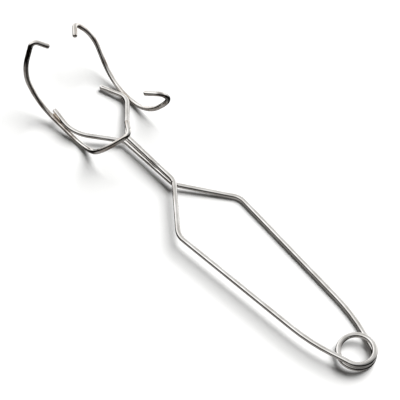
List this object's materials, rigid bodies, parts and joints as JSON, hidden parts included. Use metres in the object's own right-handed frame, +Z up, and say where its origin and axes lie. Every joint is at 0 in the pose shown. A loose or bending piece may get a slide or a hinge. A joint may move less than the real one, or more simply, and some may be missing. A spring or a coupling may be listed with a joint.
{
  "type": "jar lifter",
  "caption": "Sprung wire tongs with a coil hinge, crossed levers and four hooked fingers that grip a jar's neck.",
  "frame": {"origin": "on the coil's axis, half way up the coil", "axes": "+Y from the coil to the claws, +X to the right seen from the coil, +Z up along the coil's axis; the tool lies on its back with the fingers up"},
  "size_m": [0.0601, 0.2964, 0.0518],
  "materials": {
    "spring_wire": "bright chrome plate on round spring steel wire",
    "claw_wire": "bright chrome plate on round steel wire",
    "weld_metal": "weld bead plated over, slightly dull and straw coloured"
  },
  "bodies": {
    "lower_tong": {"coil_spring": "spring_wire", "lower_lever": "spring_wire", "left_claw": "claw_wire", "left_weld": "weld_metal"},
    "upper_tong": {"upper_lever": "spring_wire", "right_claw": "claw_wire", "right_weld": "weld_metal"}
  },
  "joints": [
    {"name": "squeeze", "type": "hinge", "parent": "lower_tong", "child": "upper_tong", "pos_m": [0, 0, 0], "axis": [0, 0, -1], "range_deg": [0, 16], "stiffness_Nm_per_rad": 11}
  ]
}
